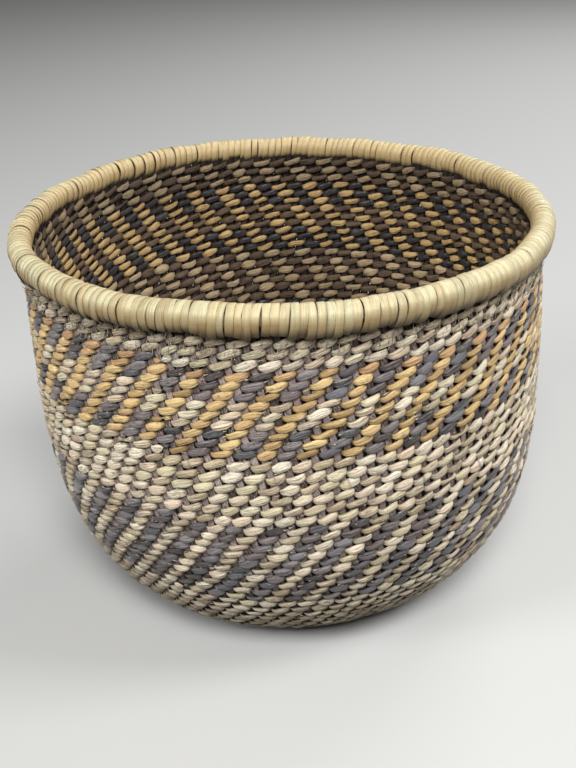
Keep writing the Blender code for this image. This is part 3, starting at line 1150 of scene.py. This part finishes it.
@dataclass(frozen=True)
class Base:
    """The flat base: three rings of weft, with more stakes in each, round the start knot."""

    weave: Weave
    stakes: Stakes
    start_radius: float = 12.0 * MM
    inner_radius: float = 25.0 * MM
    outer_radius: float = 48.8 * MM
    overlap: float = 3.0 * MM
    knot_radius: float = 4.6 * MM
    knot_reach: float = 6.21 * MM
    knot_strips: int = 4
    knot_fill: float = 0.42
    knot_swing: float = 0.42 * MM
    knot_half_thickness: float = 0.38 * MM

    def bands(self) -> list[Band]:
        """Work out where the rings of weft lie.

        Returns:
            The rings, from the middle out.
        """
        natural = ("natural_weft", "natural_weft")
        rings = (
            ("start", self.knot_radius, self.start_radius, 2.0, 21),
            ("inner_base", self.start_radius, self.inner_radius, 4.0, 43),
            ("outer_base", self.inner_radius, self.outer_radius, 7.0 - self.weave.early, 85))
        return [Band(name, count, (end - start) / count, start, 0.0, stake_count, natural, seed)
                for seed, (name, start, end, count, stake_count) in enumerate(rings)]

    def knot(self) -> None:
        """Make the start knot: flat strips woven over and under each other."""
        shape = bmesh.new()
        spacing = 2.0 * self.knot_radius / self.knot_strips
        for strip in range(self.knot_strips):
            for lengthwise in (True, False):
                self.knot_strip(shape, strip, spacing, lengthwise)
        bmesh.ops.recalc_face_normals(shape, faces=shape.faces)
        mesh = bpy.data.meshes.new("start_knot_strips")
        shape.to_mesh(mesh)
        shape.free()
        mesh.shade_smooth()
        mesh.materials.append(self.weave.materials["knot"])
        piece = bpy.data.objects.new("start_knot_strips", mesh)
        bpy.context.scene.collection.objects.link(piece)
        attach(piece, "root")
        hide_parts("start_knot")
        LOG.info("start_knot_strips: %d strips each way", self.knot_strips)

    def knot_strip(self, shape: bmesh.types.BMesh, strip: int, spacing: float, lengthwise: bool) -> None:
        """Add one strip of the knot.

        Args:
            shape: The mesh that it goes into.
            strip: Its number, from one side.
            spacing: The distance between strips.
            lengthwise: Whether it runs along X, else along Y.
        """
        steps = 24
        sides = 6
        aside = (strip - (self.knot_strips - 1) / 2) * spacing
        swing = self.knot_swing if lengthwise else -self.knot_swing
        section = [(math.cos(FULL_TURN * side / sides), math.sin(FULL_TURN * side / sides))
                   for side in range(sides)]
        rings = []
        for step in range(steps + 1):
            along = (2.0 * step / steps - 1.0) * self.knot_reach
            wave = math.cos(math.pi * (along / spacing + 0.5 * self.knot_strips + strip))
            height = self.weave.middle_depth + swing * wave
            ring = []
            for across, up in section:
                x, y = along, aside + across * spacing * self.knot_fill
                if not lengthwise:
                    x, y = y, x
                ring.append(shape.verts.new((x, y, height + up * self.knot_half_thickness)))
            rings.append(ring)
        for before, after in zip(rings, rings[1:]):
            for side in range(sides):
                beside = (side + 1) % sides
                shape.faces.new((before[side], before[beside], after[beside], after[side]))
        shape.faces.new(rings[0])
        shape.faces.new(rings[-1])

    def build(self) -> None:
        """Make the rings of weft, their stakes and the knot."""
        tree = self.weave.strand_tree()
        for band in self.bands():
            for strand in Strand:
                piece = self.weave.strand(tree, band, strand)
                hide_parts("base_weft_outer", "base_weft_inner")
            end = band.start + band.course_count * band.course_height
            self.stakes.build(band.name + "_stakes", [band], band.start - self.overlap / 2,
                              end + self.overlap)
        self.knot()


@dataclass(frozen=True)
class Rim:
    """The split that wraps the rim, round the ends of the stakes and the rod."""

    weave: Weave
    ring_radius: float
    height: float
    outer_radius: float
    outline_end: float
    wrap_count: int = 226
    steps_per_wrap: int = 18
    hank_wraps: float = 23.0
    half_thickness: float = 0.36 * MM
    lower_at_back: float = 2.4 * MM
    seed: float = 5.0

    # How many times as far the wrapping hangs below the ring's middle as it stands above it
    droop: float = 1.30
    droop_at_front: float = 0.16
    uneven_droop: float = 0.30
    lumpy_droop: float = 0.16
    lump: float = 4.0 * MM

    # How deep the wraps lie
    sunk: float = 0.22 * MM
    lap: float = 0.10 * MM
    uneven_lap: float = 0.22 * MM
    uneven_depth: float = 0.16 * MM
    uneven_period: float = 9.0 * MM

    # How wide the wraps are and where they lie, against the distance from one to the next, and
    # the share of them that have a slit beside them
    half_width: float = 0.555
    uneven_width: float = 0.12
    uneven_place: float = 0.34
    lean: float = 0.10
    uneven_lean: float = 0.40
    slit_share: float = 0.22
    slit_width: float = 0.32

    def tree(self) -> ShapeTree:
        """Make the tree of the wrapping.

        Returns:
            The tree.
        """
        tree = ShapeTree("wrapping", self.weave.guide)
        steps = tree.size("Steps", self.wrap_count * self.steps_per_wrap)
        count = tree.size("Wraps", float(self.wrap_count))
        ring_radius = tree.size("Ring radius", self.ring_radius)
        ring_height = tree.size("Ring height", self.height)
        outer = tree.size("Outer radius", self.outer_radius)
        thickness = tree.size("Half thickness", self.half_thickness)
        end = tree.size("Outline end", self.outline_end)

        split, across, through, along = tree.tube(8, steps)
        wrap = along * count
        part = wrap.fraction()
        number = wrap.floor()
        chance = tree.chance(number, self.seed)
        other_chance = tree.chance(number, self.seed + 1.0)
        hank = tree.chance((wrap / self.hank_wraps).floor(), self.seed + 3.0)[0]
        swell = (part * math.pi).sine() ** 0.7
        angle = along * FULL_TURN
        turn = (part - 0.25) * FULL_TURN
        at_back = (0.5 + 0.5 * angle.sine()) ** 2.0
        pitch = ring_radius * FULL_TURN / count
        place = tree.vector(angle.cosine() * ring_radius, angle.sine() * ring_radius, turn.sine() * 5.0 * MM)
        _, stray_up, stray_deep = tree.stray(angle, end + along * 0.0)

        gaping = (chance[3] - (1.0 - self.slit_share)).above(0.0) * (0.15 + 0.85 * other_chance[3])
        slit = gaping * (0.32 + 0.24 * other_chance[2] - part).line(0.17) * across.above(0.0)
        wide = pitch * (self.half_width + self.uneven_width * (chance[0] - 0.5) * swell
                        - self.slit_width * slit)
        leaning = (part * FULL_TURN).sine() * (self.lean + self.uneven_lean * (other_chance[0] - 0.5))
        shift = pitch * (self.uneven_place * (chance[1] - 0.5) * swell + leaning)
        around = angle + (wide * across.squarer(0.28) + shift) / ring_radius

        lying = (self.lap * across + self.uneven_lap * (other_chance[1] - 0.5) * swell
                 + tree.noise(place, self.uneven_period)[0] * self.uneven_depth - self.sunk)
        reach = outer - thickness * (1.0 - through.squarer(0.4)) + lying
        hang = (self.droop + self.droop_at_front * (-angle.sine())
                + self.uneven_droop * (other_chance[1] - 0.5)
                + self.lumpy_droop * tree.noise(place, self.lump)[1])
        away = ring_radius - stray_deep + reach * turn.cosine()
        up = (ring_height + stray_up - at_back * self.lower_at_back
              + reach * turn.sine() * turn.sine().below(0.0).blend(1.0, hang))
        point = tree.vector(away * around.cosine(), away * around.sine(), up)
        shape = tree.carry(split, {
            "along": wrap * 3.0,
            "across": across,
            "tone": chance[2],
            "hank": hank,
            # Painted shade on the lower half of the wrapping; its browner underside is partly the split's
            # own colour and partly painted shade
            "tuck": (0.15 - turn.sine()).within() * 0.70,
            "inside": (turn.cosine() * -1.0).within(),
            "blush": ((0.30 - turn.sine()) * 4.0).within() * 1.25,
        })
        tree.close(shape, point, across)
        return tree

    def build(self) -> None:
        """Make the wrapping."""
        piece = self.tree().make("wrapped_split", self.weave.materials["rim_split"])
        LOG.info("wrapped_split: %d wraps", self.wrap_count)
        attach(piece, "root")
        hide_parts("rim_wrapping")


@dataclass(frozen=True)
class LooseFibres:
    """Thin fibres that stand out of the weft, closest together under the rim."""

    weave: Weave
    low: float
    high: float
    count: int = 3400
    rim_share: float = 0.28
    rim_zone: float = 7.0 * MM
    least_length: float = 0.8 * MM
    added_length: float = 1.8 * MM
    added_length_at_rim: float = 4.0 * MM
    half_thickness: float = 0.16 * MM
    uneven_thickness: float = 0.16 * MM
    root_depth: float = 0.45 * MM
    seed: float = 20.0

    def tree(self) -> ShapeTree:
        """Make the tree of the fibres.

        Returns:
            The tree.
        """
        tree = ShapeTree("loose_fibres", self.weave.guide)
        count = tree.size("Fibres", self.count)
        low = tree.size("Low", self.low)
        high = tree.size("High", self.high)
        fibre, across, through, along = tree.tube(3, 5)
        copies, number = tree.copies(fibre, count)
        chance = tree.chance(number, self.seed)
        other_chance = tree.chance(number, self.seed + 1.0)
        angle = chance[0] * FULL_TURN
        near_rim = (other_chance[3] - (1.0 - self.rim_share)).above(0.0)
        distance = near_rim.blend(low + (high - low) * chance[1], high - chance[1] * self.rim_zone)
        added = near_rim.blend(self.added_length, self.added_length_at_rim)
        length = self.least_length + added * chance[2] * chance[2]
        heading = (chance[3] - 0.5) * near_rim.blend(1.2, 3.4) + near_rim.blend(0.1, 0.6)
        thick = (self.half_thickness + self.uneven_thickness * other_chance[2]) * (1.0 - 0.8 * along)
        aside = length * along * heading.cosine() - thick * across * heading.sine()
        up = length * along * heading.sine() + thick * across * heading.cosine()
        proud = 0.08 + 0.50 * other_chance[0] * other_chance[0]
        lift = length * proud * along * (1.2 - 0.8 * other_chance[1] * along)
        radius = tree.follow(distance)[0]
        _, _, stray_deep = tree.stray(angle, distance)
        depth = self.root_depth - lift - thick * through + stray_deep
        point = tree.place(angle + aside / radius, distance + up, depth)
        shape = tree.carry(copies, {
            "along": along,
            "across": across * 0.3,
            "tone": 0.7 + 0.3 * other_chance[1],
            "hank": other_chance[0],
        })
        tree.close(shape, point, across * 0.0)
        return tree

    def build(self) -> None:
        """Make the fibres."""
        piece = self.tree().make("loose_fibres", self.weave.materials["natural_weft"])
        LOG.info("loose_fibres: %d", self.count)
        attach(piece, "root")


@dataclass(frozen=True)
class Room:
    """The floor, the soft lights and the camera.

    What the camera sees of the floor and the sky is paler than what they reflect and light.
    """

    floor_radius: float = 6.0
    floor_seen: Colour = (0.55, 0.55, 0.54)
    floor_reflects: Colour = (0.18, 0.18, 0.18)
    sky_seen: float = 0.43
    sky_light: float = 0.04
    sky_colour: tuple[float, float, float, float] = (1.0, 0.97, 0.93, 1.0)
    lit_point: tuple[float, float, float] = (0.0, 0.0, 0.08)
    focal_length: float = 51.67
    sensor: float = 36.0
    camera_place: tuple[float, float, float] = (0.0, -0.4038, 0.2785)
    camera_pitch: float = math.radians(26.74)
    camera_roll: float = math.radians(-2.39)

    def floor(self) -> None:
        """Lay the pale floor."""
        bpy.ops.mesh.primitive_circle_add(vertices=96, radius=self.floor_radius, fill_type="NGON")
        floor = bpy.context.object
        floor.name = "floor"
        tree = SurfaceTree("pale_floor")
        colour = tree.mixed(tree.seen(), self.floor_reflects, self.floor_seen)
        floor.data.materials.append(tree.close({"Base Color": colour, "Roughness": 0.9}))

    def lamp(self, name: str, power: float, size: float, place: tuple[float, float, float]) -> None:
        """Hang one soft square lamp that points at the basket.

        Args:
            name: Its name.
            power: Its power in watts.
            size: The length of its sides.
            place: Where it hangs.
        """
        light = bpy.data.lights.new(name, "AREA")
        light.energy = power
        light.size = size
        lamp = bpy.data.objects.new(name, light)
        bpy.context.scene.collection.objects.link(lamp)
        direction = Vector(self.lit_point) - Vector(place)
        turn = direction.to_track_quat("-Z", "Y").to_matrix().to_4x4()
        lamp.matrix_world = Matrix.Translation(place) @ turn

    def lights(self) -> None:
        """Light the room softly and evenly."""
        self.lamp("key", power=17.5, size=0.5, place=(0.05, -0.92, 1.10))
        self.lamp("left", power=10.4, size=0.5, place=(-1.2, -0.6, 0.8))
        self.lamp("right", power=12.0, size=0.5, place=(1.15, -0.2, 1.1))
        self.lamp("back", power=9.0, size=0.8, place=(0.75, 1.0, 1.0))
        world = bpy.data.worlds.new("room")
        bpy.context.scene.world = world
        world.use_nodes = True
        tree = Tree(world.node_tree)
        sky = tree.node("ShaderNodeBackground", None, {
            "Color": self.sky_colour, "Strength": tree.seen().blend(self.sky_light, self.sky_seen)})
        tree.node("ShaderNodeOutputWorld", None, {"Surface": tree.out(sky)})

    def camera(self) -> None:
        """Set the camera where the photograph was taken from."""
        lens = bpy.data.cameras.new("camera")
        lens.lens = self.focal_length
        lens.sensor_width = self.sensor
        camera = bpy.data.objects.new("camera", lens)
        bpy.context.scene.collection.objects.link(camera)
        tilt = Matrix.Rotation(math.pi / 2 - self.camera_pitch, 4, "X")
        roll = Matrix.Rotation(self.camera_roll, 4, "Z")
        camera.matrix_world = Matrix.Translation(self.camera_place) @ tilt @ roll
        bpy.context.scene.camera = camera


def main() -> None:
    """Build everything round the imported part."""
    logging.basicConfig(level=logging.INFO, format="%(message)s")
    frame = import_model()
    bpy.context.scene.view_settings.view_transform = "Standard"
    room = Room()
    room.floor()
    room.lights()
    room.camera()
    outline = Outline()
    guide = outline.guide()
    materials = {finish.name: finish.material() for finish in FIBRE_FINISHES + BARK_FINISHES}
    weave = Weave(guide, materials)
    stakes = Stakes(weave)
    rim_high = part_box("rim_wrapping")[1]
    below_ring = 2.9 * MM
    weft_top = outline.distance_at_height(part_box("top_pale_weft_outer")[1][2] - below_ring)
    wall = Wall(outline, weave, weft_top)
    wall.build()
    stake_top = outline.distance_at_height(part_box("warp_01")[1][2])
    under_heel = 3.0 * MM
    uprights = stakes.build("stakes", wall.bands(), outline.base_radius - under_heel, stake_top)
    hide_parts(*(f"warp_{number:02d}" for number in range(1, 41)))
    Base(weave, stakes).build()
    rod = frame["nodes"]["rim_rod"]
    for slot in rod.material_slots:
        slot.material = materials["rod"]
    wrap_radius = rim_high[2] - outline.rim_height
    rim_middle = outline.distance_at_height(outline.rim_height)
    Rim(weave, rim_high[0] - wrap_radius, outline.rim_height, wrap_radius, rim_middle).build()
    LooseFibres(weave, outline.base_radius, weft_top).build()
    bpy.data.objects.remove(guide, do_unlink=True)


if __name__ == "__main__":
    main()
